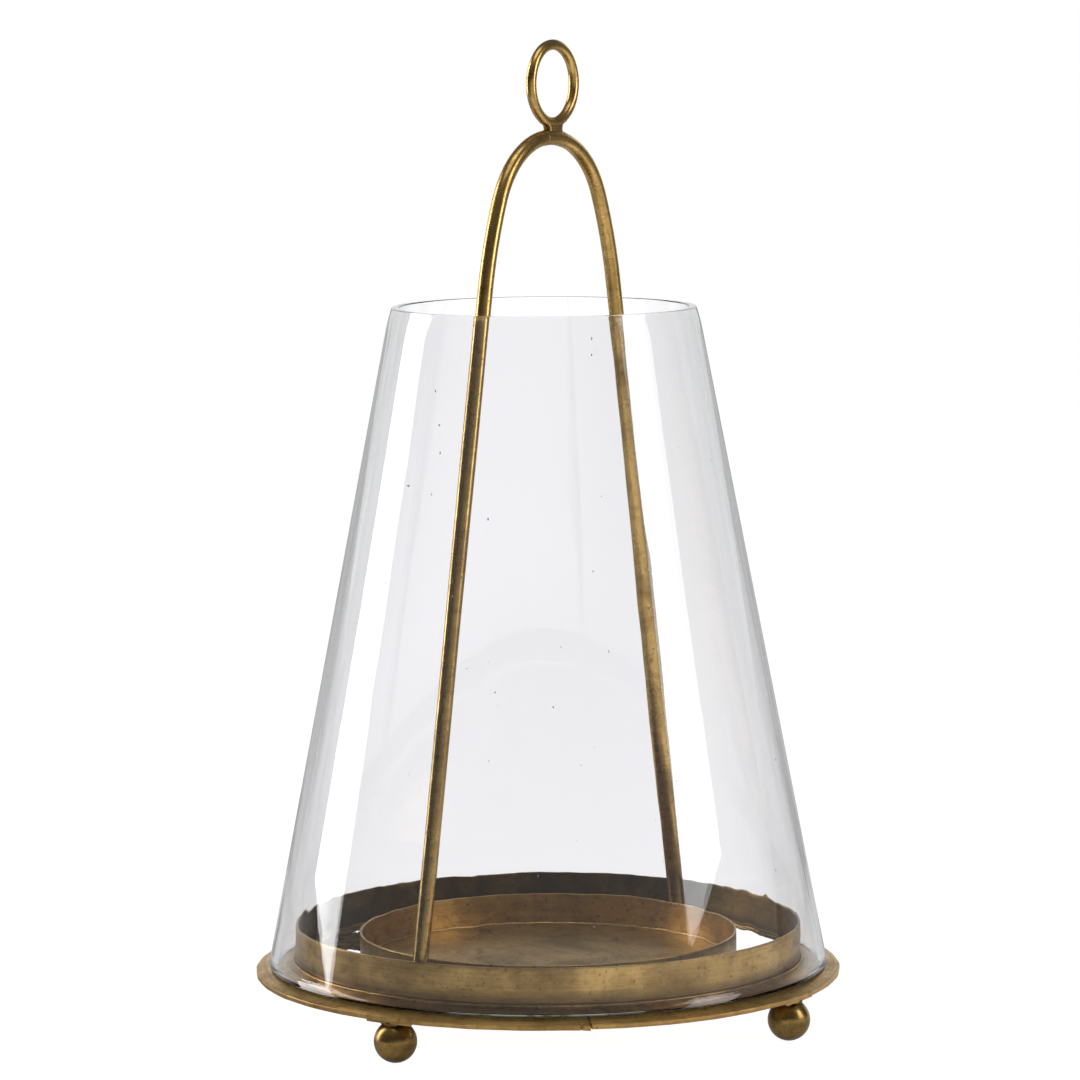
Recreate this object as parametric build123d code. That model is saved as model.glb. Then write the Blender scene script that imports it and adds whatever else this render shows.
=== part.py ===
from build123d import *
import os
from math import atan2, cos, degrees, radians, sin, tan

# A hurricane lantern: an open-ended cone of glass that stands on the sloping brim of a round
# brass tray. A bent-rod handle with a carrying ring rises from the tray through the glass.
# The frame's origin is on the table under the middle of the tray, with +Z up. The handle is
# parallel to the XZ plane. It was soldered in by hand, a little off the middle of the tray and
# off the line of the feet. Everything is in millimetres and degrees.

# Feet
BALL_R = 11.2
BALL_CIRCLE_R = 148.0            # from the middle of the tray to each ball's centre
FEET_TURN = 1.5                  # of the feet and the straps, anticlockwise from the X and Y axes
SIDES = {"right": 0, "back": 90, "left": 180, "front": 270}

# Brim: a flat ring dished to a shallow cone, with its two ends butted and soldered
BRIM_OUTER_R = 157.1
BRIM_T = 2.4
BRIM_SLOPE = 14.0
BRIM_SEAM_ANGLE = 221.5
SEAM_GAP = 0.7
SEAM_DRESSED_LENGTH = 16.0       # the stretch beside the joint that was filed back
SEAM_DRESSED_DEPTH = 0.9
SEAM_PIT_R = 1.2

# Collar: an upright band on the brim's inner edge
COLLAR_OUTER_R = 135.0
COLLAR_T = 1.6
COLLAR_H = 20.0
COLLAR_BASE_Z = 30.6             # where the collar's outside meets the top of the brim

# Candle pan: a wall around a flat disc
PAN_OUTER_R = 101.0
PAN_T = 1.2
PAN_RIM_Z = 45.0
PAN_FLOOR_Z = 28.0

# Cross of straps under the pan, with ends formed to the underside of the brim
STRAP_W = 27.0
STRAP_T = 1.6
STRAP_END_R = 155.0
STRAP_GAP = 0.8                  # soldered gap between the long strap and each short one

# Handle: one round rod, straight legs, a gentle shoulder and a round crown
ROD_R = 4.0
HANDLE_OFFSET = 4.1              # from the middle of the tray towards -Y
LEG_LEAN = 10.4                  # of the straight legs, from upright
SHOULDER_LEAN = 23.0             # where the shoulder ends and the crown begins
SHOULDER_R = 226.0
CROWN_R = 51.2
APEX_Z = 468.5                   # of the rod's centre line

# Carrying ring and the saddle that joins it to the handle
RING_R = 20.4
RING_WIRE_R = 2.75
RING_Z = 496.6
RING_OFFSET = 3.5                # along the crown, towards +X
SADDLE_T = 4.8
SADDLE_WAIST = 11.8
SADDLE_FLARE = 16.0

# Glass chimney
GLASS_BASE_R = 149.6
GLASS_SHOULDER_R = 84.1
GLASS_TOP_R = 80.8
GLASS_SHOULDER_Z = 366.0
GLASS_TOP_Z = 379.3
GLASS_WALL = 4.2                 # measured level
GLASS_LIP_R = 1.9
GLASS_FOOT_R = 0.8
GLASS_GAP = 0.3                  # between the glass and the brim that it stands on

# Edge rounding and solder
EDGE_R = 0.4
FILLET_LEG = 1.3                 # of a solder fillet along each face
BALL_SOLDER_R = 4.4
FOOT_SOLDER_R = 6.0
FOOT_SOLDER_H = 3.2
TACK_ARC = 6.0

# Worked out from the dimensions above
COLLAR_INNER_R = COLLAR_OUTER_R - COLLAR_T
PAN_INNER_R = PAN_OUTER_R - PAN_T
STRAP_TOP_Z = PAN_FLOOR_Z - PAN_T
STRAP_BOTTOM_Z = STRAP_TOP_Z - STRAP_T
BRIM_FALL = tan(radians(BRIM_SLOPE))
BRIM_T_UPRIGHT = BRIM_T / cos(radians(BRIM_SLOPE))
STRAP_T_UPRIGHT = STRAP_T / cos(radians(BRIM_SLOPE))


def brim_top_z(r):
    """Height of the brim's upper face at radius r."""
    return COLLAR_BASE_Z - (r - COLLAR_OUTER_R) * BRIM_FALL


def brim_under_z(r):
    """Height of the brim's lower face at radius r."""
    return brim_top_z(r) - BRIM_T_UPRIGHT


def radius_on_brim_under(z):
    """Radius at which the brim's lower face is at height z."""
    return COLLAR_OUTER_R + (COLLAR_BASE_Z - BRIM_T_UPRIGHT - z) / BRIM_FALL


def turned(profile, arc=360):
    """Solid turned about the upright axis from a face drawn as (radius, height)."""
    return revolve(Plane.XZ * profile, Axis.Z, revolution_arc=arc)


def outline(*points):
    """Face with straight sides through the (radius, height) points."""
    return make_face(Polyline(*points, close=True))


def about_z(angle):
    """Turn about the upright axis."""
    return Rot(0, 0, angle)


def foot_line(side):
    """Turn from +X to the line on which the foot and the strap of that side lie."""
    return about_z(SIDES[side] + FEET_TURN)


def brim():
    section = outline(
        (COLLAR_INNER_R, brim_top_z(COLLAR_INNER_R)),
        (BRIM_OUTER_R, brim_top_z(BRIM_OUTER_R)),
        (BRIM_OUTER_R, brim_under_z(BRIM_OUTER_R)),
        (COLLAR_INNER_R, brim_under_z(COLLAR_INNER_R)),
    )
    section = fillet(section.vertices().sort_by(Axis.X)[-2:], EDGE_R)
    return turned(section) - about_z(BRIM_SEAM_ANGLE) * seam_cut()


def seam_cut():
    """The butted joint: a narrow gap, a pit at its outer end and a filed stretch beside it."""
    reach = BRIM_OUTER_R + 2 * BRIM_T
    depth = 4 * BRIM_T
    middle_z = brim_top_z(BRIM_OUTER_R)
    gap = Pos(reach - COLLAR_INNER_R / 4, 0, middle_z) * Box(COLLAR_INNER_R / 2, SEAM_GAP, 4 * depth)
    pit = Pos(BRIM_OUTER_R, 0, middle_z - BRIM_T_UPRIGHT) * Sphere(SEAM_PIT_R)
    swing = Rot(0, 0, degrees(atan2(SEAM_DRESSED_DEPTH, SEAM_DRESSED_LENGTH)))
    blade = Pos(depth / 2, SEAM_DRESSED_LENGTH / 2, 0) * Box(depth, SEAM_DRESSED_LENGTH, 4 * depth)
    filed = Pos(BRIM_OUTER_R - SEAM_DRESSED_DEPTH, 0, middle_z) * swing * blade
    return gap + pit + filed


def brim_seam_solder():
    """Solder in the brim's joint, a little below its faces and short of its pit."""
    dip = 0.25
    inner_r = COLLAR_INNER_R
    outer_r = BRIM_OUTER_R - 2 * SEAM_PIT_R
    section = outline(
        (inner_r, brim_top_z(inner_r) - dip),
        (outer_r, brim_top_z(outer_r) - dip),
        (outer_r, brim_under_z(outer_r) + dip),
        (inner_r, brim_under_z(inner_r) + dip),
    )
    slab = extrude(Plane.XZ * section, SEAM_GAP / 2, both=True)
    return about_z(BRIM_SEAM_ANGLE) * slab


def collar_band():
    top_z = COLLAR_BASE_Z + COLLAR_H
    section = outline(
        (COLLAR_INNER_R, brim_top_z(COLLAR_INNER_R)),
        (COLLAR_OUTER_R, COLLAR_BASE_Z),
        (COLLAR_OUTER_R, top_z),
        (COLLAR_INNER_R, top_z),
    )
    return turned(fillet(section.vertices().sort_by(Axis.Y)[-2:], EDGE_R))


def collar_solder():
    """Solder fillet around the outside of the collar, where it meets the brim."""
    return turned(outline(
        (COLLAR_OUTER_R, COLLAR_BASE_Z),
        (COLLAR_OUTER_R, COLLAR_BASE_Z + FILLET_LEG),
        (COLLAR_OUTER_R + FILLET_LEG, brim_top_z(COLLAR_OUTER_R + FILLET_LEG)),
    ))


def pan_wall():
    section = outline(
        (PAN_INNER_R, STRAP_TOP_Z),
        (PAN_OUTER_R, STRAP_TOP_Z),
        (PAN_OUTER_R, PAN_RIM_Z),
        (PAN_INNER_R, PAN_RIM_Z),
    )
    return turned(fillet(section.vertices().sort_by(Axis.Y)[-2:], EDGE_R))


def pan_floor():
    """Disc with its upper edge bevelled to take the solder."""
    return turned(outline(
        (0, STRAP_TOP_Z),
        (PAN_INNER_R, STRAP_TOP_Z),
        (PAN_INNER_R, PAN_FLOOR_Z - PAN_T / 2),
        (PAN_INNER_R - FILLET_LEG, PAN_FLOOR_Z),
        (0, PAN_FLOOR_Z),
    ))


def pan_solder():
    """Solder around the inside of the pan, in the bevel between its wall and its floor."""
    return turned(outline(
        (PAN_INNER_R, PAN_FLOOR_Z - PAN_T / 2),
        (PAN_INNER_R, PAN_FLOOR_Z + FILLET_LEG),
        (PAN_INNER_R - FILLET_LEG, PAN_FLOOR_Z),
    ))


def pan_tack():
    """Short solder fillet that holds the outside of the pan to the strap under it."""
    wedge = turned(outline(
        (PAN_OUTER_R, STRAP_TOP_Z),
        (PAN_OUTER_R + FILLET_LEG, STRAP_TOP_Z),
        (PAN_OUTER_R, STRAP_TOP_Z + FILLET_LEG),
    ), TACK_ARC)
    return about_z(-TACK_ARC / 2) * wedge


def strap_disc():
    """The straps' section turned full circle: flat under the pan, then following the brim."""
    bend_r = radius_on_brim_under(STRAP_TOP_Z)
    end_z = brim_under_z(STRAP_END_R)
    return turned(outline(
        (0, STRAP_TOP_Z),
        (bend_r, STRAP_TOP_Z),
        (STRAP_END_R, end_z),
        (STRAP_END_R, end_z - STRAP_T_UPRIGHT),
        (bend_r, STRAP_BOTTOM_Z - (STRAP_T_UPRIGHT - STRAP_T)),
        (bend_r - STRAP_T, STRAP_BOTTOM_Z),
        (0, STRAP_BOTTOM_Z),
    ))


def strap_long():
    return strap_disc() & Box(3 * STRAP_END_R, STRAP_W, 3 * STRAP_TOP_Z)


def strap_short():
    """One arm of the cross, lying along +X before it is turned into place."""
    start = STRAP_W / 2 + STRAP_GAP
    window = Pos(start + STRAP_END_R, 0, 0) * Box(2 * STRAP_END_R, STRAP_W, 3 * STRAP_TOP_Z)
    return strap_disc() & window


def strap_solder():
    """Solder that fills the gap between a short strap and the long one."""
    place = Pos((STRAP_W + STRAP_GAP) / 2, 0, (STRAP_TOP_Z + STRAP_BOTTOM_Z) / 2)
    return place * Box(STRAP_GAP, STRAP_W, STRAP_T)


def crown_centre_z():
    return APEX_Z - CROWN_R


def shoulder_centre():
    """Centre of the right-hand shoulder arc, on the line that is square to its join with the crown."""
    inset = SHOULDER_R - CROWN_R
    return (-inset * cos(radians(SHOULDER_LEAN)), crown_centre_z() - inset * sin(radians(SHOULDER_LEAN)))


def leg_point(z):
    """Point at height z on the centre line of the right-hand straight leg."""
    centre_x, centre_z = shoulder_centre()
    start_x = centre_x + SHOULDER_R * cos(radians(LEG_LEAN))
    start_z = centre_z + SHOULDER_R * sin(radians(LEG_LEAN))
    return (start_x + (start_z - z) * tan(radians(LEG_LEAN)), z)


def leg_start_z():
    return shoulder_centre()[1] + SHOULDER_R * sin(radians(LEG_LEAN))


def mirrored(point):
    return (-point[0], point[1])


def handle_rod():
    """The rod bent to its centre line, with both feet cut level to stand on the long strap."""
    low = leg_point(STRAP_TOP_Z - ROD_R)
    high = leg_point(leg_start_z())
    turn = SHOULDER_LEAN - LEG_LEAN
    path = Wire([
        Edge.make_line(low, high),
        CenterArc(shoulder_centre(), SHOULDER_R, LEG_LEAN, turn).edge(),
        CenterArc((0, crown_centre_z()), CROWN_R, SHOULDER_LEAN, 180 - 2 * SHOULDER_LEAN).edge(),
        CenterArc(mirrored(shoulder_centre()), SHOULDER_R, 180 - SHOULDER_LEAN, turn).edge(),
        Edge.make_line(mirrored(high), mirrored(low)),
    ])
    path = Plane.XZ.offset(HANDLE_OFFSET) * path
    bent = sweep(Plane(origin=path @ 0, z_dir=path % 0) * Circle(ROD_R), path=path)
    below = Pos(0, 0, STRAP_TOP_Z / 2) * Box(3 * STRAP_END_R, STRAP_W, STRAP_TOP_Z)
    return bent - below


def foot_solder(direction):
    """Solder around the foot of the leg on the +X (1) or -X (-1) side, kept inside the collar."""
    foot = Pos(direction * leg_point(STRAP_TOP_Z)[0], -HANDLE_OFFSET, STRAP_TOP_Z + FOOT_SOLDER_H / 2)
    heap = foot * Cone(FOOT_SOLDER_R, ROD_R, FOOT_SOLDER_H)
    inside = Pos(0, 0, STRAP_TOP_Z) * Cylinder(COLLAR_INNER_R, 4 * FOOT_SOLDER_H)
    return (heap & inside) - handle_rod()


def hanging_ring():
    return Pos(RING_OFFSET, -HANDLE_OFFSET, RING_Z) * Rot(90, 0, 0) * Torus(RING_R, RING_WIRE_R)


def ring_saddle():
    """Waisted block between the crown of the handle and the ring, shaped to both of them."""
    low_z = APEX_Z + ROD_R / 4
    high_z = RING_Z - RING_R
    waist_z = (APEX_Z + ROD_R + RING_Z - RING_R - RING_WIRE_R) / 2
    flare = SADDLE_FLARE / 2
    waist = SADDLE_WAIST / 2
    sides = (
        ThreePointArc((flare, low_z), (waist, waist_z), (flare, high_z))
        + Line((flare, high_z), (-flare, high_z))
        + ThreePointArc((-flare, high_z), (-waist, waist_z), (-flare, low_z))
        + Line((-flare, low_z), (flare, low_z))
    )
    block = extrude(Plane.XZ * make_face(sides), SADDLE_T / 2, both=True)
    block = fillet(block.edges().filter_by(GeomType.CIRCLE), 2 * EDGE_R)
    return Pos(RING_OFFSET, -HANDLE_OFFSET, 0) * block - handle_rod() - hanging_ring()


def ball_centre_z():
    return BALL_R


def ball_foot():
    return Pos(BALL_CIRCLE_R, 0, ball_centre_z()) * Sphere(BALL_R)


def ball_solder():
    """Solder neck between the right-hand ball and the sloping end of the strap above it."""
    length = BALL_R + STRAP_T / 2
    stub = Pos(0, 0, length / 2) * Cylinder(BALL_SOLDER_R, length)
    leaning = Pos(BALL_CIRCLE_R, 0, ball_centre_z()) * Rot(0, BRIM_SLOPE, 0) * stub
    return leaning - ball_foot() - strap_disc()


def glass_base_z():
    """Height of the glass's lower edge, where its rounded inner corner just clears the brim."""
    corner_r = GLASS_BASE_R - GLASS_WALL + GLASS_FOOT_R
    return brim_top_z(corner_r) + (GLASS_GAP + GLASS_FOOT_R) / cos(radians(BRIM_SLOPE)) - GLASS_FOOT_R


def glass_chimney():
    """Straight cone of glass that draws in a little more at its fire-polished lip."""
    base = (GLASS_BASE_R, glass_base_z())
    shoulder = (GLASS_SHOULDER_R, GLASS_SHOULDER_Z)
    lip = (GLASS_TOP_R, GLASS_TOP_Z)
    upward = (shoulder[0] - base[0], shoulder[1] - base[1])
    outer = Line(base, shoulder) + TangentArc(shoulder, lip, tangent=upward)
    inner = Pos(-GLASS_WALL, 0, 0) * outer
    across_top = Line(lip, (lip[0] - GLASS_WALL, lip[1]))
    across_base = Line(base, (base[0] - GLASS_WALL, base[1]))
    section = make_face(outer.edges() + inner.edges() + across_top.edges() + across_base.edges())
    section = fillet(section.vertices().sort_by(Axis.Y)[-2:], GLASS_LIP_R)
    section = fillet(section.vertices().sort_by(Axis.Y)[:2], GLASS_FOOT_R)
    return turned(section)


def all_parts():
    """Every node's name and its solid."""
    parts = {
        "glass_chimney": glass_chimney(),
        "brim": brim(),
        "brim_seam_solder": brim_seam_solder(),
        "collar_band": collar_band(),
        "collar_solder": collar_solder(),
        "pan_wall": pan_wall(),
        "pan_floor": pan_floor(),
        "pan_solder": pan_solder(),
        "strap_long": foot_line("right") * strap_long(),
        "handle_rod": handle_rod(),
        "ring_saddle": ring_saddle(),
        "hanging_ring": hanging_ring(),
    }
    for side in SIDES:
        parts["ball_foot_" + side] = foot_line(side) * ball_foot()
        parts["ball_solder_" + side] = foot_line(side) * ball_solder()
        parts["pan_tack_" + side] = foot_line(side) * pan_tack()
    for side, direction in (("left", -1), ("right", 1)):
        parts["handle_foot_solder_" + side] = foot_solder(direction)
    for side in ("front", "back"):
        parts["strap_short_" + side] = foot_line(side) * strap_short()
        parts["strap_solder_" + side] = foot_line(side) * strap_solder()
    return parts


os.makedirs("parts", exist_ok=True)
for node, solid in all_parts().items():
    export_step(solid, "parts/" + node + ".step")
    print(node, round(solid.volume), "mm3")
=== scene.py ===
import bmesh
import bpy
from math import atan2, cos, pi, radians, sin, tan
from mathutils import Matrix, Vector, noise
from random import Random


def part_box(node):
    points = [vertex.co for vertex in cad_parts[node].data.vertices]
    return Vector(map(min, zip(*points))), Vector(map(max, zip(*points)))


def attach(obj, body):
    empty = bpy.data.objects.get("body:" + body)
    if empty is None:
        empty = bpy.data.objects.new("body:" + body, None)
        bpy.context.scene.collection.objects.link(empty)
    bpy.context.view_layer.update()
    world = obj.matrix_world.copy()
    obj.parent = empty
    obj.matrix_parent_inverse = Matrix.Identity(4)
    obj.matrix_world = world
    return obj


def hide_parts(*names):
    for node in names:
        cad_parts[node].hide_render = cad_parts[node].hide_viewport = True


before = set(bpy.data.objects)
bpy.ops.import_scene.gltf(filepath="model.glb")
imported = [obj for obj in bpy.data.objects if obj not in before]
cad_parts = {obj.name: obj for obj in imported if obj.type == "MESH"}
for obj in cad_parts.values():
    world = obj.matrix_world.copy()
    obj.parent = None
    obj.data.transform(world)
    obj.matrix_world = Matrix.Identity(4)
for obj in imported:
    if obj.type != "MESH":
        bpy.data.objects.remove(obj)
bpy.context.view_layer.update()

# ---- the studio, seen from the camera: azimuths are counted from the camera, left is negative
CAMERA_BEARING = radians(213.5)      # from the middle of the tray to the camera, about +Z from +X
CAMERA_DISTANCE = 2.606
CAMERA_HEIGHT = 0.5568
CAMERA_PITCH = radians(6.612)
CAMERA_ROLL = radians(-0.369)
CAMERA_YAW = radians(-0.063)
CAMERA_LENS = 164.35                 # mm
CAMERA_SENSOR = 36.0
FLOOR_SIZE = 400.0
FLOOR_PAINT = (0.22, 0.22, 0.22, 1)
FLOOR_GLOW = 0.97
FLOOR_MIRRORED = (0.50, 1.20)        # the same table in reflections, on the left and on the right
FLOOR_BEHIND = 0.42                  # and behind the object
CYCLORAMA = (1.08, 1.08, 1.08, 1)
ROOM_DIM = (0.035, 0.035, 0.038, 1)
ROOM_FRONT = (0.50, 0.49, 0.47, 1)
ROOM_FRONT_AZIMUTH = 40
ROOM_CEILING = (0.16, 0.16, 0.17, 1)
ROOM_IN_WALL = (0.62, 0.64, 0.62, 1)     # met by mirrored light that has passed two glass faces
# name, azimuth, distance, height, width, tall, radiance, and how far below its middle it is aimed
LAMPS = (("left", -108, 1.6, 0.865, 0.62, 1.58, 5.5, 0.0),
         ("right", 71, 1.7, 0.97, 0.66, 1.41, 3.6, 0.0),
         ("top", 0, 0.3, 2.0, 1.0, 1.0, 1.5, 2.0))


def bearing(azimuth):
    """Level unit vector from the object, azimuth degrees to the camera's right of the camera."""
    angle = CAMERA_BEARING + radians(azimuth)
    return Vector((cos(angle), sin(angle), 0))


def make_camera():
    """Camera at the photograph's place."""
    data = bpy.data.cameras.new("camera")
    data.lens = CAMERA_LENS
    data.sensor_width = CAMERA_SENSOR
    data.clip_end = FLOOR_SIZE
    camera = bpy.data.objects.new("camera", data)
    bpy.context.scene.collection.objects.link(camera)
    ahead = CAMERA_BEARING + pi - CAMERA_YAW
    forward = Vector((cos(ahead) * cos(CAMERA_PITCH), sin(ahead) * cos(CAMERA_PITCH), -sin(CAMERA_PITCH)))
    right = forward.cross(Vector((0, 0, 1))).normalized()
    up = right.cross(forward)
    turn = Matrix((right, up, -forward)).transposed().to_4x4()
    camera.matrix_world = (
        Matrix.Translation(bearing(0) * CAMERA_DISTANCE + Vector((0, 0, CAMERA_HEIGHT)))
        @ turn @ Matrix.Rotation(CAMERA_ROLL, 4, "Z")
    )
    bpy.context.scene.camera = camera


def soft_box(name, azimuth, distance, height, width, tall, radiance, drop):
    """Rectangular lamp that faces the upright axis, drop metres below its own height."""
    data = bpy.data.lights.new(name, "AREA")
    data.shape = "RECTANGLE"
    data.size = width
    data.size_y = tall
    data.energy = pi * width * tall * radiance
    lamp = bpy.data.objects.new(name, data)
    lamp.location = bearing(azimuth) * distance + Vector((0, 0, height))
    target = Vector((0, 0, height - drop))
    lamp.rotation_euler = (target - lamp.location).to_track_quat("-Z", "Y").to_euler()
    lamp.visible_camera = False
    bpy.context.scene.collection.objects.link(lamp)


class Nodes:
    """Short way to build a material's node tree."""

    def __init__(self, tree):
        self.tree = tree
        tree.nodes.clear()

    def add(self, kind, inputs=None, **settings):
        node = self.tree.nodes.new("ShaderNode" + kind)
        for key, value in settings.items():
            setattr(node, key, value)
        for key, value in (inputs or {}).items():
            if isinstance(value, bpy.types.NodeSocket):
                self.tree.links.new(value, node.inputs[key])
            else:
                node.inputs[key].default_value = value
        return node

    def math(self, operation, a, b=0.0, clamp=False):
        return self.add("Math", {0: a, 1: b}, operation=operation, use_clamp=clamp).outputs[0]

    def noise(self, vector, scale, detail=3.0, roughness=0.55, distortion=0.0):
        inputs = {"Vector": vector, "Scale": scale, "Detail": detail, "Roughness": roughness,
                  "Distortion": distortion}
        return self.add("TexNoise", inputs).outputs["Fac"]

    def ramp(self, value, low, high, to_low=0.0, to_high=1.0):
        inputs = {"Value": value, "From Min": low, "From Max": high, "To Min": to_low, "To Max": to_high}
        return self.add("MapRange", inputs, interpolation_type="SMOOTHSTEP").outputs["Result"]

    def mix(self, share, first, second):
        node = self.add("Mix", {0: share}, data_type="RGBA")
        for socket, value in ((node.inputs[6], first), (node.inputs[7], second)):
            if isinstance(value, bpy.types.NodeSocket):
                self.tree.links.new(value, socket)
            else:
                socket.default_value = value
        return node.outputs[2]

    def place(self):
        return self.add("TexCoord").outputs["Object"]

    def stretched(self, vector, scale):
        return self.add("VectorMath", {0: vector, 1: scale}, operation="MULTIPLY").outputs[0]


def bounce_count(n, path):
    """How often a ray has been mirrored or scattered: 0 where the camera looks straight through."""
    return n.math("ADD", path.outputs["Glossy Depth"], path.outputs["Diffuse Depth"])


def make_world():
    """White cyclorama where the eye meets it, and a dim room round it in the reflections."""
    world = bpy.data.worlds.new("studio")
    world.use_nodes = True
    bpy.context.scene.world = world
    n = Nodes(world.node_tree)
    path = n.add("LightPath")
    reflected = n.math("GREATER_THAN", bounce_count(n, path), 0.5)
    in_wall = n.math("COMPARE", path.outputs["Transmission Depth"], 2.0)
    direction = n.add("TexCoord").outputs["Generated"]
    height = n.add("SeparateXYZ", {0: direction}).outputs["Z"]
    behind = n.add("VectorMath", {0: direction, 1: -bearing(0)}, operation="DOT_PRODUCT").outputs["Value"]
    front = n.add("VectorMath", {0: direction, 1: bearing(ROOM_FRONT_AZIMUTH)}, operation="DOT_PRODUCT")
    backdrop = n.math("MULTIPLY", n.ramp(behind, 0.50, 0.80), n.ramp(height, 0.50, 0.25))
    room = n.mix(n.ramp(height, 0.2, 0.9), ROOM_DIM, ROOM_CEILING)
    fill = n.math("MULTIPLY", n.ramp(front.outputs["Value"], 0.3, 0.85), n.ramp(height, 0.24, 0.06))
    room = n.mix(fill, room, ROOM_FRONT)
    room = n.mix(backdrop, room, CYCLORAMA)
    room = n.mix(in_wall, room, ROOM_IN_WALL)
    colour = n.mix(reflected, CYCLORAMA, room)
    background = n.add("Background", {"Color": colour, "Strength": 1.0})
    n.tree.links.new(background.outputs[0], n.add("OutputWorld").inputs["Surface"])


def make_floor():
    """White table. In reflections its glow depends on the direction, is dimmed near the object as a painted
    shadow, and ends a little way off.
    """
    bpy.ops.mesh.primitive_plane_add(size=FLOOR_SIZE)
    floor = bpy.context.object
    floor.name = "floor"
    material = bpy.data.materials.new("floor")
    material.use_nodes = True
    n = Nodes(material.node_tree)
    reflected = n.math("GREATER_THAN", bounce_count(n, n.add("LightPath")), 0.5)
    spread = n.add("VectorMath", {0: n.place()}, operation="LENGTH").outputs["Value"]
    way = n.add("VectorMath", {0: n.place()}, operation="NORMALIZE").outputs["Vector"]
    right = n.add("VectorMath", {0: way, 1: bearing(ROOM_FRONT_AZIMUTH)}, operation="DOT_PRODUCT")
    back = n.add("VectorMath", {0: way, 1: -bearing(0)}, operation="DOT_PRODUCT")
    # painted shadow: in reflections the table glows less within 0.36 m of the middle, down to 0.3 within 0.15
    # m
    near = n.math("MULTIPLY", n.ramp(right.outputs["Value"], -0.2, 0.95, *FLOOR_MIRRORED),
                  n.ramp(spread, 0.15, 0.36, 0.3, 1.0))
    far = n.ramp(right.outputs["Value"], 0.25, 0.85, 0.1, 0.5)
    table = n.math("MULTIPLY", near, n.ramp(spread, 0.5, 1.1, 1.0, far))
    table = n.math("MAXIMUM", table, n.math("MULTIPLY", n.ramp(back.outputs["Value"], 0.4, 0.75),
                                            n.ramp(spread, 0.4, 0.9, 0.0, FLOOR_BEHIND)))
    glow = n.math("ADD", n.math("MULTIPLY", reflected, table),
                  n.math("MULTIPLY", n.math("SUBTRACT", 1.0, reflected), FLOOR_GLOW))
    paint = n.add("BsdfPrincipled", {"Base Color": FLOOR_PAINT, "Roughness": 0.7,
                                     "Specular IOR Level": 0.0,
                                     "Emission Color": (1, 1, 1, 1), "Emission Strength": glow})
    n.tree.links.new(paint.outputs[0], n.add("OutputMaterial").inputs["Surface"])
    floor.data.materials.append(material)


# ---- sizes of the worked pieces, in metres, where the boxes of the CAD nodes don't give them
MM = 0.001
BRIM_SLOPE = radians(14)
BRIM_THICK = 2.4 * MM
COLLAR_THICK = 1.6 * MM
PAN_THICK = 1.2 * MM
EDGE_ROUND = 0.35 * MM
SEAM_BEARING = radians(221.5)
SEAM_GAP = 0.5 * MM
SEAM_PIT = 2.4 * MM
SEAM_PIT_AWAY = 5.0 * MM             # from the joint to the pit, along the rim
SEAM_STEP = 0.5 * MM                 # how far the filed end stands back from its neighbour
SEAM_STEP_LENGTH = 16 * MM
GLASS_WALL = 4.2 * MM
GLASS_SHOULDER = 13.3 * MM           # below the lip, where the cone starts to draw in
GLASS_DRAW_IN = 3.3 * MM
GLASS_LIP_ROUND = 0.7 * MM
GLASS_FOOT_ROUND = 0.8 * MM
GLASS_BASE_RADIUS = 149.6 * MM
GLASS_TOP_RADIUS = 80.8 * MM
SEED_COUNT = 90
BRIM_CUTS = 38                       # snips round the rim, and the deepest in mm
BRIM_CUT_DEPTH = 0.55
BURR_AZIMUTH = 116
# along the collar's edge, above it and radius, in mm
BURR_DROPS = ((-1.5, -0.1, 0.6), (-0.5, 0.3, 0.7), (0.4, 0.7, 0.6), (1.2, 0.2, 0.5))
NECK_UP_RING = 1.2 * MM              # how far the brazed neck runs over its neighbours
NECK_ALONG_ROD = (9.0 * MM, 9.5 * MM)
# direction from the ball, tilt from upright and radius in mm of the drops round a ball's neck
BALL_DROPS = ((20, 32, 2.0), (75, 28, 1.8), (140, 34, 2.1), (215, 29, 1.7), (285, 36, 2.2),
              (335, 27, 1.8))
SIDES = ("right", "back", "left", "front")
BRIM_STEPS = 1920                    # faces round a turned piece
BAND_STEPS = 1440
BEAD_STEPS = 960
GLASS_STEPS = 720


def top(node):
    """Upper corner of a CAD node's box."""
    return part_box(node)[1]


def bottom(node):
    """Lower corner of a CAD node's box."""
    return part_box(node)[0]


def noise_at(seed, *point):
    """Smooth noise from -1 to 1. The seed only tells one noise from another."""
    return noise.noise(Vector(point) + Vector((seed * 17.3, seed * 5.1, seed * 9.7)))


def noise_round(seed, angle, waves, height=0.0):
    """Smooth noise that closes on itself round the upright axis."""
    return noise_at(seed, waves * cos(angle), waves * sin(angle), height)


def add_piece(name, bm, body, replaced=()):
    """Turn a bmesh into a smooth-shaded piece that rides on a body."""
    bmesh.ops.recalc_face_normals(bm, faces=bm.faces)
    for face in bm.faces:
        face.smooth = True
    mesh = bpy.data.meshes.new(name)
    bm.to_mesh(mesh)
    bm.free()
    piece = bpy.data.objects.new(name, mesh)
    bpy.context.scene.collection.objects.link(piece)
    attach(piece, body)
    if replaced:
        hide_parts(*replaced)
    return piece


def arc_points(centre, radius, start, end, count):
    """Points of an arc in the (radius, height) plane, angles in degrees."""
    turns = [radians(start + (end - start) * i / (count - 1)) for i in range(count)]
    return [(centre[0] + radius * cos(t), centre[1] + radius * sin(t)) for t in turns]


def between(first, last, count):
    """Points on a straight line, without its ends."""
    shares = [i / (count + 1) for i in range(1, count + 1)]
    return [(first[0] + (last[0] - first[0]) * k, first[1] + (last[1] - first[1]) * k) for k in shares]


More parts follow.
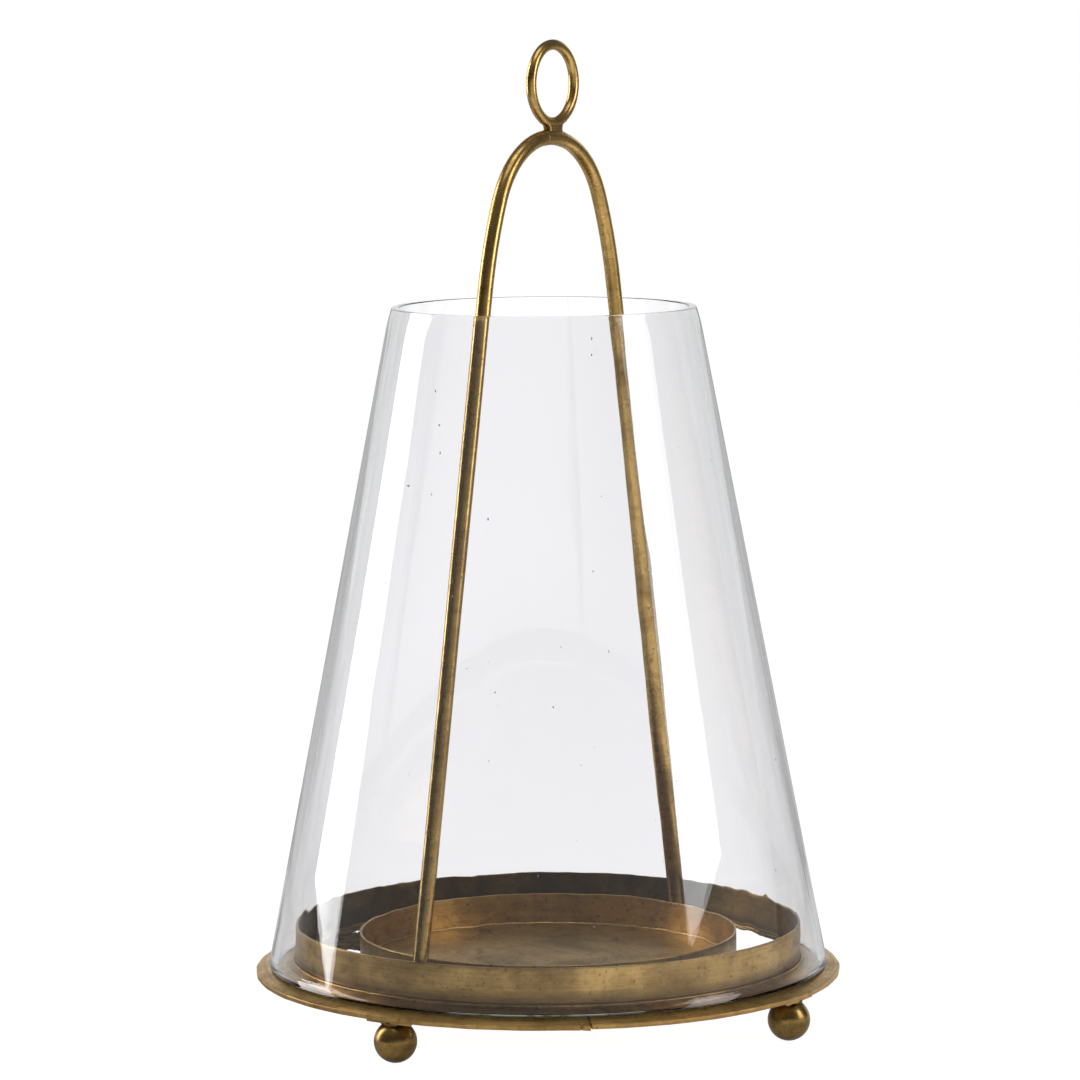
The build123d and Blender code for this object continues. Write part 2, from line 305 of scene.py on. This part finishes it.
def turned_mesh(profile, worn, steps, start=0.0, turn=2 * pi):
    """Mesh turned from a closed (radius, height) profile. worn moves each (radius, height, angle)."""
    bm = bmesh.new()
    whole = turn > 1.9999 * pi
    rings = []
    for i in range(steps if whole else steps + 1):
        angle = start + turn * i / steps
        ring = []
        for radius, height in profile:
            r, z = worn(radius, height, angle)
            ring.append(bm.verts.new((r * cos(angle), r * sin(angle), z)))
        rings.append(ring)
    pairs = list(zip(rings, rings[1:]))
    if whole:
        pairs.append((rings[-1], rings[0]))
    for a, b in pairs:
        for k in range(len(profile)):
            m = (k + 1) % len(profile)
            bm.faces.new((a[k], b[k], b[m], a[m]))
    if not whole:
        bm.faces.new(rings[0])
        bm.faces.new(list(reversed(rings[-1])))
    return bm


def remeshed(parts, voxel, smoothing):
    """Bmesh of closed parts (bmeshes) merged into one skin of small even faces."""
    joined = bpy.data.meshes.new("joined")
    merged = bmesh.new()
    for part in parts:
        piece = bpy.data.meshes.new("part")
        part.to_mesh(piece)
        part.free()
        merged.from_mesh(piece)
        bpy.data.meshes.remove(piece)
    merged.to_mesh(joined)
    merged.free()
    helper = bpy.data.objects.new("helper", joined)
    bpy.context.scene.collection.objects.link(helper)
    skin = helper.modifiers.new("skin", "REMESH")
    skin.mode = "VOXEL"
    skin.voxel_size = voxel
    relax = helper.modifiers.new("relax", "SMOOTH")
    relax.factor = 0.5
    relax.iterations = smoothing
    depsgraph = bpy.context.evaluated_depsgraph_get()
    result = bpy.data.meshes.new_from_object(helper.evaluated_get(depsgraph))
    bm = bmesh.new()
    bm.from_mesh(result)
    bpy.data.objects.remove(helper)
    bpy.data.meshes.remove(joined)
    bpy.data.meshes.remove(result)
    return bm


def node_mesh(node):
    """Copy of a CAD node's mesh, welded."""
    bm = bmesh.new()
    bm.from_mesh(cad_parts[node].data)
    bmesh.ops.remove_doubles(bm, verts=bm.verts, dist=1e-7)
    return bm


def cut_off(bm, point, outward):
    """Cut away what lies beyond a plane, and close the cut."""
    whole = bm.verts[:] + bm.edges[:] + bm.faces[:]
    bmesh.ops.bisect_plane(bm, geom=whole, plane_co=point, plane_no=outward, clear_outer=True)
    bmesh.ops.holes_fill(bm, edges=[e for e in bm.edges if e.is_boundary])
    return bm


def swell(bm, amount, lump, scale, seed):
    """Move a skin outwards by an even amount and by smooth noise."""
    bm.normal_update()
    for vert in bm.verts:
        rough = noise_at(seed, *(vert.co * scale)) + 0.4 * noise_at(seed + 1, *(vert.co * scale * 2.7))
        vert.co += vert.normal * (amount + lump * rough)
    return bm


def round_blob(centre, radii, seed, lump=0.12):
    """Small uneven drop."""
    bm = bmesh.new()
    bmesh.ops.create_icosphere(bm, subdivisions=4, radius=1.0)
    for vert in bm.verts:
        swollen = vert.co * (1 + lump * noise_at(seed, *(vert.co * 1.6)))
        vert.co = Vector(centre) + Vector((swollen.x * radii[0], swollen.y * radii[1], swollen.z * radii[2]))
    return bm


# ---- the tray's sheet pieces

def make_brim():
    """Dished ring of sheet with snipped flats round its rim, and its two ends at the joint."""
    outer = top("brim").x - 0.25 * MM
    inner = top("collar_band").x - COLLAR_THICK
    crest = top("brim").z
    fall = tan(BRIM_SLOPE)
    upright = BRIM_THICK / cos(BRIM_SLOPE)

    def face(radius, under=0.0):
        return (radius, crest - (radius - inner) * fall - under)

    e = EDGE_ROUND
    lean = -BRIM_SLOPE * 180 / pi
    high, low = face(outer - e), face(outer - e, upright)
    profile = [face(inner)] + between(face(inner), high, 10)
    profile += arc_points((high[0], high[1] - e), e, 90 + lean, lean, 5)
    profile += arc_points((low[0], low[1] + e), e, lean, lean - 90, 5)
    profile += between(low, face(inner, upright), 10) + [face(inner, upright)]

    chance = Random(5)
    depth = [chance.uniform(0.0, BRIM_CUT_DEPTH) for _ in range(BRIM_CUTS)]

    def cut_back(angle):
        """Depth in mm of the snips that left the rim in short flats."""
        place = (angle % (2 * pi)) / (2 * pi) * BRIM_CUTS
        k, part = int(place) % BRIM_CUTS, place - int(place)
        corners = depth[k] * (1 - part) + depth[(k + 1) % BRIM_CUTS] * part
        sagitta = outer / MM * (2 * pi / BRIM_CUTS) ** 2 / 8
        return corners + 4 * part * (1 - part) * sagitta * 0.55

    def worn(r, z, angle):
        share = max(0.0, (r - inner) / (outer - inner)) ** 1.5
        wave = 0.20 * noise_round(3, angle, 2.5) + 0.10 * noise_round(4, angle, 9.0)
        edge = 0.14 * noise_round(5, angle, 3.0) + 0.07 * noise_round(6, angle, 26.0)
        edge += 0.04 * noise_round(7, angle, 90.0, z * 900) - cut_back(angle)
        past = (angle - SEAM_BEARING) * outer
        if 0 <= past < SEAM_STEP_LENGTH:
            edge -= SEAM_STEP / MM * (1 - past / SEAM_STEP_LENGTH)
        before = (SEAM_BEARING + 2 * pi - angle) * outer
        if 0 <= before < SEAM_STEP_LENGTH:
            wave -= 0.75 * (1 - before / SEAM_STEP_LENGTH) ** 2
        pit = max(0.0, 1 - abs(before - SEAM_PIT_AWAY) / (1.1 * MM))
        edge -= SEAM_PIT / MM * min(1.0, 1.6 * pit) * min(1.0, max(0.0, 1.4 - (crest - z) / (8.2 * MM)))
        return r + edge * MM * share ** 2, z + wave * MM * share

    half_gap = SEAM_GAP / 2 / outer
    bm = turned_mesh(profile, worn, BRIM_STEPS, SEAM_BEARING + half_gap, 2 * pi - 2 * half_gap)
    return add_piece("brim_sheet", bm, "tray", ["brim"])


def make_band(name, node, thick, seed, rag):
    """Upright strip with a hand-cut upper edge. rag is the depth of its nicks in mm, by angle."""
    outer, crest, foot = top(node).x, top(node).z, bottom(node).z
    e = EDGE_ROUND
    profile = [(outer, foot)] + between((outer, foot), (outer, crest - e), 8)
    profile += arc_points((outer - e, crest - e), e, 0, 90, 5)
    profile += arc_points((outer - thick + e, crest - e), e, 90, 180, 5)
    profile += between((outer - thick, crest - e), (outer - thick, foot), 8) + [(outer - thick, foot)]

    def worn(r, z, angle):
        share = (z - foot) / (crest - foot)
        bow = 0.16 * noise_round(seed, angle, 1.8, z * 20) + 0.05 * noise_round(seed + 1, angle, 9.0, z * 60)
        nick = max(0.0, noise_round(seed + 2, angle, 34.0) + 0.35 * noise_round(seed + 3, angle, 95.0))
        dip = 0.12 * noise_round(seed + 4, angle, 3.0) - 0.12
        return r + bow * MM * share, z + (dip - rag(angle) * nick) * MM * share ** 6

    bm = turned_mesh(profile, worn, BAND_STEPS)
    return add_piece(name, bm, "tray", [node])


def bump_near(angle, middle, width):
    """1 at an azimuth from the camera, falling to 0 at width degrees from it."""
    away = abs((angle - CAMERA_BEARING - radians(middle) + pi) % (2 * pi) - pi)
    return max(0.0, 1 - away / radians(width))


def collar_rag(angle):
    """Nicks in the collar's edge, deepest at the back left and the far right."""
    return 0.10 + 0.75 * bump_near(angle, -147, 40) + 0.5 * bump_near(angle, 118, 35)


def pan_rag(angle):
    """Nicks in the pan's edge, deepest at the far right."""
    return 0.06 + 0.25 * bump_near(angle, 110, 30)


def make_burr():
    """Torn curl of metal left on the collar's upper edge, at the far right."""
    angle = CAMERA_BEARING + radians(BURR_AZIMUTH)
    reach = top("collar_band").x - COLLAR_THICK / 2
    place = Vector((reach * cos(angle), reach * sin(angle), top("collar_band").z))
    along = Vector((-sin(angle), cos(angle), 0))
    parts = []
    for k, (shift, lift, size) in enumerate(BURR_DROPS):
        centre = place + along * shift * MM + Vector((0, 0, lift * MM))
        parts.append(round_blob(centre, [size * MM] * 3, 40 + k, 0.5))
    bm = swell(remeshed(parts, 0.12 * MM, 2), 0, 0.1 * MM, 1800, 44)
    return add_piece("collar_burr", bm, "tray")


# ---- solder

def make_ring_bead(name, node, seed, outside):
    """Uneven line of solder round a turned corner, from the CAD fillet's box."""
    radius = top(node).x
    foot, crest = bottom(node).z, top(node).z
    size = (crest - foot) / 2
    if outside:
        centre = (radius - size * 0.8, foot + size * 0.75)
    else:
        centre = (radius - size * 0.2, foot + size * 0.9)
    profile = arc_points(centre, size * 0.85, 0, 330, 12)

    def worn(r, z, angle):
        lump = 1 + 0.35 * noise_round(seed, angle, 14.0) + 0.25 * noise_round(seed + 1, angle, 55.0)
        return centre[0] + (r - centre[0]) * lump, centre[1] + (z - centre[1]) * lump

    bm = turned_mesh(profile, worn, BEAD_STEPS)
    return add_piece(name, bm, "tray", [node])


def make_inner_line():
    """Thin dark line of solder that ran through to the inside of the collar's foot."""
    radius = top("collar_band").x - COLLAR_THICK
    height = bottom("collar_band").z - 1.2 * MM
    profile = arc_points((radius, height), 0.9 * MM, 0, 330, 12)

    def worn(r, z, angle):
        lump = 1 + 0.45 * noise_round(30, angle, 13.0) + 0.35 * noise_round(31, angle, 60.0)
        return radius + (r - radius) * lump, height + (z - height) * lump

    bm = turned_mesh(profile, worn, BEAD_STEPS)
    return add_piece("collar_inner_line", bm, "tray")


def make_strap_heaps():
    """Solder heaped in the corner between each strap and the collar, the largest at the back one."""
    radius = top("collar_band").x - COLLAR_THICK
    level = top("strap_long").z
    drops = []
    chance = Random(9)
    for k, side in enumerate(SIDES):
        middle = (bottom("ball_foot_" + side) + top("ball_foot_" + side)) / 2
        line = atan2(middle.y, middle.x)
        for m in range(7):
            turn = line + radians(-5.5 + 11 * m / 6)
            reach = radius - chance.uniform(0.5, 2.0) * MM
            size = chance.uniform(1.6, 2.8) * MM
            drops.append(round_blob((reach * cos(turn), reach * sin(turn), level + 0.3 * MM),
                                    (size, size, 1.3 * MM), 300 + 10 * k + m, 0.35))
        if side == "back":                  # beside the strap, then on it towards the pan
            for m in range(14):
                turn = line + radians(6.5 + 4.5 * (m % 4) / 3 + chance.uniform(-0.4, 0.4))
                reach = radius - (2 + 4.6 * (m // 4) + chance.uniform(0, 1.5)) * MM
                drops.append(round_blob((reach * cos(turn), reach * sin(turn), level - 0.6 * MM),
                                        (4.2 * MM, 4.2 * MM, 1.5 * MM), 340 + m, 0.3))
            for m in range(18):
                turn = line + radians(-7.5 + 3.2 * (m % 6) + chance.uniform(-0.4, 0.4))
                reach = radius - (17 + 5.2 * (m // 6) + chance.uniform(0, 1.5)) * MM
                drops.append(round_blob((reach * cos(turn), reach * sin(turn), level - 0.6 * MM),
                                        (4.4 * MM, 4.4 * MM, 1.6 * MM), 370 + m, 0.3))
    bm = swell(remeshed(drops, 0.4 * MM, 3), 0, 0.3 * MM, 700, 120)
    return add_piece("strap_heaps", bm, "tray")


def make_lump(name, node, seed, amount, lump, voxel=0.25, extra=()):
    """The CAD solder swollen into an uneven cast shape, with any drops beside it."""
    parts = [node_mesh(node)] + list(extra)
    bm = swell(remeshed(parts, voxel * MM, 3), amount * MM, lump * MM, 900, seed)
    return add_piece(name, bm, "tray", [node])


def make_neck():
    """Brazed neck between the crown and the ring, flowing into both."""
    low, high = bottom("ring_saddle"), top("ring_saddle")
    middle = (low + high) / 2
    ring = cut_off(node_mesh("hanging_ring"), (0, 0, high.z + NECK_UP_RING), (0, 0, 1))
    rod = cut_off(node_mesh("handle_rod"), (middle.x + NECK_ALONG_ROD[1], 0, 0), (1, 0, 0))
    rod = cut_off(rod, (middle.x - NECK_ALONG_ROD[0], 0, 0), (-1, 0, 0))
    saddle = node_mesh("ring_saddle")
    bm = swell(remeshed([saddle, ring, rod], 0.2 * MM, 3), 0.13 * MM, 0.07 * MM, 1100, 50)
    return add_piece("ring_neck", bm, "tray", ["ring_saddle"])


def make_feet():
    """Cast balls, each with an uneven neck of solder over it."""
    pieces = []
    for k, side in enumerate(SIDES):
        node = "ball_foot_" + side
        middle = (bottom(node) + top(node)) / 2
        radius = (top(node).z - bottom(node).z) / 2
        ball = bmesh.new()
        bmesh.ops.create_icosphere(ball, subdivisions=6, radius=radius)
        for vert in ball.verts:
            dent = 0.10 * noise_at(60 + k, *(vert.co * 90)) + 0.03 * noise_at(64 + k, *(vert.co * 420))
            vert.co = vert.co * (1 - 0.006 + 0.006 * dent / 0.13) + middle
        pieces.append(add_piece("ball_" + side, ball, "tray", [node]))
        inward = Vector((-middle.x, -middle.y, 0)).normalized()
        sideways = Vector((-inward.y, inward.x, 0))
        drops = []
        for m, (turn, lean, size) in enumerate(BALL_DROPS):
            swing = radians(turn + 31 * k)
            tilt = radians(lean - 7 * ((m + k) % 3))
            away = inward * cos(swing) + sideways * sin(swing)
            centre = middle + (away * sin(tilt) + Vector((0, 0, cos(tilt)))) * (radius - 0.2 * MM)
            drops.append(round_blob(centre, [size * MM, size * MM, 1.0 * MM], 70 + 6 * k + m, 0.35))
        pieces.append(make_lump("ball_braze_" + side, "ball_solder_" + side, 80 + k, 0.4, 0.3, 0.3, drops))
    return pieces


def make_solder():
    """Every other line and lump of solder."""
    pieces = [make_inner_line(), make_strap_heaps(),
              make_ring_bead("collar_bead", "collar_solder", 90, True),
              make_ring_bead("pan_bead", "pan_solder", 93, False),
              make_lump("seam_braze", "brim_seam_solder", 96, 0.12, 0.12, 0.12)]
    for k, side in enumerate(("left", "right")):
        pieces.append(make_lump("leg_braze_" + side, "handle_foot_solder_" + side, 100 + k, 0.5, 0.55, 0.3))
    for k, side in enumerate(SIDES):
        pieces.append(make_lump("pan_tack_lump_" + side, "pan_tack_" + side, 104 + k, 0.45, 0.3, 0.2))
    for k, side in enumerate(("front", "back")):
        pieces.append(make_lump("strap_braze_" + side, "strap_solder_" + side, 110 + k, 0.18, 0.15, 0.2))
    return pieces


# ---- glass

def make_glass():
    """Mouth-blown cone: its surfaces ripple a little, mostly from foot to lip."""
    foot, crest = bottom("glass_chimney").z, top("glass_chimney").z
    shoulder = (GLASS_TOP_RADIUS + GLASS_DRAW_IN, crest - GLASS_SHOULDER)
    lean = (GLASS_BASE_RADIUS - shoulder[0]) / (shoulder[1] - foot)
    e, f, wall = GLASS_LIP_ROUND, GLASS_FOOT_ROUND, GLASS_WALL
    start = (GLASS_BASE_RADIUS - lean * f, foot + f)
    outer = [start] + between(start, shoulder, 90) + [shoulder]
    rise, draw_in = GLASS_SHOULDER - e, GLASS_DRAW_IN - lean * GLASS_SHOULDER
    for k in (i / 8 for i in range(1, 9)):
        outer.append((shoulder[0] - lean * k * rise - draw_in * k ** 2, shoulder[1] + k * rise))
    end = outer[-1]
    lip = arc_points((end[0] - e, end[1]), e, 12, 90, 6)
    lip += arc_points((end[0] - wall + e, end[1]), e, 90, 172, 6)
    inner = [(r - wall, z) for r, z in reversed(outer)]
    out_foot = arc_points((GLASS_BASE_RADIUS - f, foot + f), f, 270, 350, 4)
    in_foot = arc_points((GLASS_BASE_RADIUS - wall + f, foot + f), f, 190, 270, 4)
    profile = out_foot + outer + lip + inner + in_foot

    def worn(r, z, angle):
        share = (z - foot) / (crest - foot)
        cone_r = GLASS_BASE_RADIUS - lean * (z - foot) - wall / 2
        side = 1 if r > cone_r else 3
        fade = min(1.0, 12 * share, 12 * (1 - share) + 0.25)
        ripple = 0.085 * noise_round(120 + side, angle, 5.0, z * 6)
        ripple += 0.03 * noise_round(121 + side, angle, 16.0, z * 9)
        ripple += 0.012 * noise_round(122 + side, angle, 7.0, z * 90)
        sway = 0.10 * noise_round(126, angle, 1.0, z * 3)
        lip_wave = 0.14 * noise_round(127, angle, 2.2) * max(0.0, share - 0.9) * 10
        return r + (ripple * fade + sway * fade - 0.05) * MM, z - max(0.0, lip_wave + 0.05) * MM

    bm = turned_mesh(profile, worn, GLASS_STEPS)
    return add_piece("glass_cone", bm, "glass", ["glass_chimney"])


def make_seeds():
    """Seeds: small drawn-out bubbles and specks caught in the glass."""
    foot, crest = bottom("glass_chimney").z, top("glass_chimney").z
    lean = (GLASS_BASE_RADIUS - GLASS_TOP_RADIUS - GLASS_DRAW_IN) / (crest - GLASS_SHOULDER - foot)
    seeds = bmesh.new()
    chance = Random(11)
    for k in range(SEED_COUNT):
        angle = chance.uniform(0, 2 * pi)
        height = foot + (crest - foot) * chance.uniform(0.03, 0.95)
        size = (0.16 + 0.30 * chance.random() ** 3) * MM
        radius = GLASS_BASE_RADIUS - lean * (height - foot) - GLASS_WALL * chance.uniform(0.12, 0.24)
        centre = (radius * cos(angle), radius * sin(angle), height)
        drop = round_blob(centre, (size, size, size * chance.uniform(1.2, 2.2)), 200 + k, 0.2)
        loose = bpy.data.meshes.new("seed")
        drop.to_mesh(loose)
        drop.free()
        seeds.from_mesh(loose)
        bpy.data.meshes.remove(loose)
    return add_piece("glass_seeds", seeds, "glass")


# ---- materials

BRASS_BRIGHT = (0.71, 0.465, 0.160, 1)
BRASS_MID = (0.40, 0.250, 0.080, 1)
BRASS_DARK = (0.070, 0.040, 0.014, 1)
TARNISH = (0.19, 0.105, 0.035, 1)
COPPER_EDGE = (0.42, 0.22, 0.10, 1)
GLASS_TINT = (0.955, 0.953, 0.968, 1)
GLASS_DEPTH = (0.80, 0.86, 0.83, 1)
GLASS_DENSITY = 6.0
GLASS_IOR = 1.5
SEED_GREY = (0.30, 0.30, 0.30, 1)
SEED_WHITE = (0.92, 0.92, 0.93, 1)


def radius_of(n, place):
    """Distance from the upright axis."""
    parts = n.add("SeparateXYZ", {0: place})
    flat = n.add("CombineXYZ", {"X": parts.outputs["X"], "Y": parts.outputs["Y"]}).outputs[0]
    return n.add("VectorMath", {0: flat}, operation="LENGTH").outputs["Value"]


def radial(n, place, along, across):
    """Coordinates stretched round the upright axis, for marks that run round a turned piece."""
    parts = n.add("SeparateXYZ", {0: place})
    inputs = {
        "X": n.math("MULTIPLY", parts.outputs["X"], along),
        "Y": n.math("MULTIPLY", parts.outputs["Y"], along),
        "Z": n.math("MULTIPLY", radius_of(n, place), across),
    }
    return n.add("CombineXYZ", inputs).outputs[0]


def brass(name, grain, patina=0.5, roughness=0.32, cloud_scale=22.0, wear=0.0, cut_edge=None,
          brush_share=0.45, fine_bump=0.14, beat=0.2, dull=0.0, painted_inner_shade=0.0,
          foot=None, corner=0.003):
    """Antique brass. grain gives the brush marks' coordinates, and cut_edge the radius of a sawn rim.
    dull darkens it all, painted_inner_shade paints shade on what faces the upright axis, and foot is the
    height near which it turns darker towards the bottom. corner is how far from a neighbour the painted shade
    reaches."""
    material = bpy.data.materials.new(name)
    material.use_nodes = True
    n = Nodes(material.node_tree)
    place = n.place()
    brush = n.noise(grain(n, place), 1.0, 4.0, 0.6)
    cloud = n.noise(place, cloud_scale, 5.0, 0.62, 0.4)
    speck = n.noise(place, 420.0, 2.0, 0.6)
    drop = n.noise(place, 1100.0, 1.0, 0.5)
    brush = n.ramp(brush, 0.2, 0.8, 0.28, 0.72)
    stain = n.math("ADD", n.math("MULTIPLY", brush, brush_share), n.math("MULTIPLY", cloud, 1 - brush_share))
    occlusion_shade = n.add("AmbientOcclusion", {"Distance": corner}, samples=6, only_local=bool(cut_edge)).outputs["AO"]
    colour = n.mix(n.ramp(stain, 0.36, 0.66), BRASS_MID, BRASS_BRIGHT)
    dark_share = n.ramp(stain, 0.38 + 0.12 * patina, 0.24, 0.0, 0.4 + 0.5 * patina)
    colour = n.mix(dark_share, colour, BRASS_DARK)
    smudge = n.noise(n.stretched(place, (1.0, 1.0, 3.0)), 2.2 * cloud_scale, 3.0, 0.5, 1.2)
    colour = n.mix(n.ramp(smudge, 0.60, 0.72, 0.0, 0.55 * patina), colour, BRASS_DARK)
    colour = n.mix(n.ramp(speck, 0.60, 0.74, 0.0, 0.6), colour, BRASS_DARK)
    tarnish = n.noise(n.stretched(place, (1.0, 1.0, 2.0)), 5.0 * cloud_scale, 4.0, 0.65)
    colour = n.mix(n.ramp(tarnish, 0.48, 0.66, 0.0, 0.32), colour, TARNISH)
    colour = n.mix(n.ramp(drop, 0.76, 0.82, 0.0, 0.7), colour, BRASS_BRIGHT)
    # painted shade: darker in corners and beside neighbouring parts, as far as corner reaches
    colour = n.mix(n.ramp(occlusion_shade, 0.25, 0.85, 0.7, 0.0), colour, BRASS_DARK)
    if dull:
        colour = n.mix(n.ramp(cloud, 0.35, 0.65, dull + 0.08, dull - 0.12), colour, BRASS_DARK)
    # painted shade: what faces the upright axis, the inside of a turned wall, is darkened, less towards the
    # far right
    if painted_inner_shade:
        facing = n.add("VectorMath", {0: n.add("NewGeometry").outputs["Normal"],
                                      1: n.stretched(place, (1.0, 1.0, 0.0))}, operation="DOT_PRODUCT")
        inside = n.ramp(facing.outputs["Value"], -0.02, -0.08)
        far_right = n.add("VectorMath", {0: place, 1: bearing(BURR_AZIMUTH)}, operation="DOT_PRODUCT")
        inside = n.math("MULTIPLY", inside, n.ramp(far_right.outputs["Value"], 0.118, 0.131, 1.0, 0.35))
        inside = n.math("MULTIPLY", inside, n.ramp(cloud, 0.38, 0.62, 1.05, 0.85))
        colour = n.mix(n.math("MULTIPLY", inside, painted_inner_shade), colour, BRASS_DARK)
    # darker towards the bottom, fading out about 6 mm above foot
    if foot:
        height = n.add("SeparateXYZ", {0: place}).outputs["Z"]
        uneven = n.math("ADD", height, n.math("MULTIPLY", cloud, -0.006))
        colour = n.mix(n.ramp(uneven, foot - 0.002, foot + 0.006, 0.72, 0.0), colour, BRASS_DARK)
    if cut_edge:
        rim = n.ramp(radius_of(n, place), cut_edge - 0.0012, cut_edge - 0.0004)
        worn_rim = n.math("MULTIPLY", rim, n.ramp(n.noise(place, 120.0, 3.0, 0.6), 0.42, 0.62, 0.1, 0.75))
        colour = n.mix(worn_rim, colour, COPPER_EDGE)
    if wear:
        crest = n.add("NewGeometry").outputs["Pointiness"]
        colour = n.mix(n.ramp(crest, 0.515, 0.56, 0.0, wear), colour, BRASS_BRIGHT)
    rough = n.math("ADD", n.ramp(stain, 0.3, 0.7, roughness + 0.12, roughness - 0.05),
                   n.math("MULTIPLY", speck, 0.08))
    fine = n.math("ADD", n.math("MULTIPLY", brush, 0.6), n.math("MULTIPLY", speck, 0.4))
    bump = n.add("Bump", {"Height": fine, "Strength": fine_bump, "Distance": 0.0005}).outputs[0]
    beaten = n.noise(place, 55.0, 2.0, 0.5)
    bump = n.add("Bump", {"Height": beaten, "Strength": beat, "Distance": 0.0012, "Normal": bump}).outputs[0]
    paint = n.add("BsdfPrincipled", {"Base Color": colour, "Roughness": rough, "Normal": bump,
                                     "Metallic": 1.0})
    n.tree.links.new(paint.outputs[0], n.add("OutputMaterial").inputs["Surface"])
    return material


def glass():
    """Clear glass, a little green in its depth, with smears."""
    material = bpy.data.materials.new("clear_glass")
    material.use_nodes = True
    n = Nodes(material.node_tree)
    place = n.place()
    wave = n.noise(n.stretched(place, (30.0, 30.0, 7.0)), 1.0, 2.0, 0.5)
    bump = n.add("Bump", {"Height": wave, "Strength": 0.15, "Distance": 0.001}).outputs[0]
    smear = n.noise(place, 14.0, 4.0, 0.6)
    rough = n.ramp(smear, 0.50, 0.85, 0.0, 0.03)
    paint = n.add("BsdfPrincipled", {
        "Base Color": GLASS_TINT, "Roughness": rough, "Normal": bump,
        "Transmission Weight": 1.0, "IOR": GLASS_IOR,
    })
    depth = n.add("VolumeAbsorption", {"Color": GLASS_DEPTH, "Density": GLASS_DENSITY})
    out = n.add("OutputMaterial")
    n.tree.links.new(paint.outputs[0], out.inputs["Surface"])
    n.tree.links.new(depth.outputs[0], out.inputs["Volume"])
    return material


def seed_glass():
    """Bubbles and specks, which show as small grey and white points."""
    material = bpy.data.materials.new("glass_seed")
    material.use_nodes = True
    n = Nodes(material.node_tree)
    shade = n.noise(n.place(), 60.0, 2.0, 0.5)
    colour = n.mix(n.ramp(shade, 0.42, 0.58), SEED_GREY, SEED_WHITE)
    paint = n.add("BsdfPrincipled", {"Base Color": colour, "Roughness": n.ramp(shade, 0.3, 0.7, 0.1, 0.4)})
    n.tree.links.new(paint.outputs[0], n.add("OutputMaterial").inputs["Surface"])
    return material


def give(obj, material):
    """Give a piece its only material."""
    obj.data.materials.clear()
    obj.data.materials.append(material)


def streaks(*scale):
    """Brush marks' coordinates for brass(): the place stretched by scale."""
    return lambda n, place: n.stretched(place, scale)


def round_axis(n, place):
    """Brush marks' coordinates for brass(): marks that run round the upright axis."""
    return radial(n, place, 26.0, 1400.0)


def build_and_paint():
    """Make every worked piece, and give it and the CAD nodes that show their materials."""
    upright = streaks(9.0, 9.0, 800.0)
    lengthwise = streaks(1300.0, 1300.0, 24.0)
    even = streaks(60.0, 60.0, 60.0)
    # the collar band's inner face is darkened as painted shade
    band = brass("brass_band", upright, patina=0.3, roughness=0.34, wear=0.7, brush_share=0.2,
                 painted_inner_shade=0.93, foot=bottom("collar_band").z)
    hoop = brass("brass_hoop", upright, patina=0.15, roughness=0.34, wear=0.7, brush_share=0.2)
    rim = brass("brass_brim", round_axis, patina=0.6, roughness=0.34, cut_edge=top("brim").x)
    plate = brass("brass_plate", round_axis, patina=0.9, roughness=0.42, cloud_scale=16.0, brush_share=0.25)
    rod = brass("brass_rod", lengthwise, patina=0.5, roughness=0.19, brush_share=0.12,
                fine_bump=0.0, beat=0.02)
    # corner reaches the brim above the balls, so the painted shade darkens their tops
    ball = brass("brass_ball", even, patina=0.8, roughness=0.20, cloud_scale=60.0, fine_bump=0.04,
                 beat=0.1, dull=0.42, corner=0.009)
    solder = brass("solder", even, patina=1.0, roughness=0.50, cloud_scale=90.0, dull=0.55)
    give(make_brim(), rim)
    give(make_band("collar_strip", "collar_band", COLLAR_THICK, 10, collar_rag), band)
    give(make_band("pan_hoop", "pan_wall", PAN_THICK, 20, pan_rag), hoop)
    give(make_burr(), band)
    give(make_neck(), rod)
    give(make_glass(), glass())
    give(make_seeds(), seed_glass())
    for piece in make_feet():
        give(piece, solder if "braze" in piece.name else ball)
    for piece in make_solder():
        give(piece, {"collar_bead": rim, "pan_bead": hoop}.get(piece.name, solder))
    for name in ("handle_rod", "hanging_ring"):
        give(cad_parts[name], rod)
    for name in ("pan_floor", "strap_long", "strap_short_front", "strap_short_back"):
        give(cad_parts[name], plate)


make_camera()
make_world()
make_floor()
for lamp_settings in LAMPS:
    soft_box(*lamp_settings)
bpy.context.scene.view_settings.view_transform = "Standard"
build_and_paint()
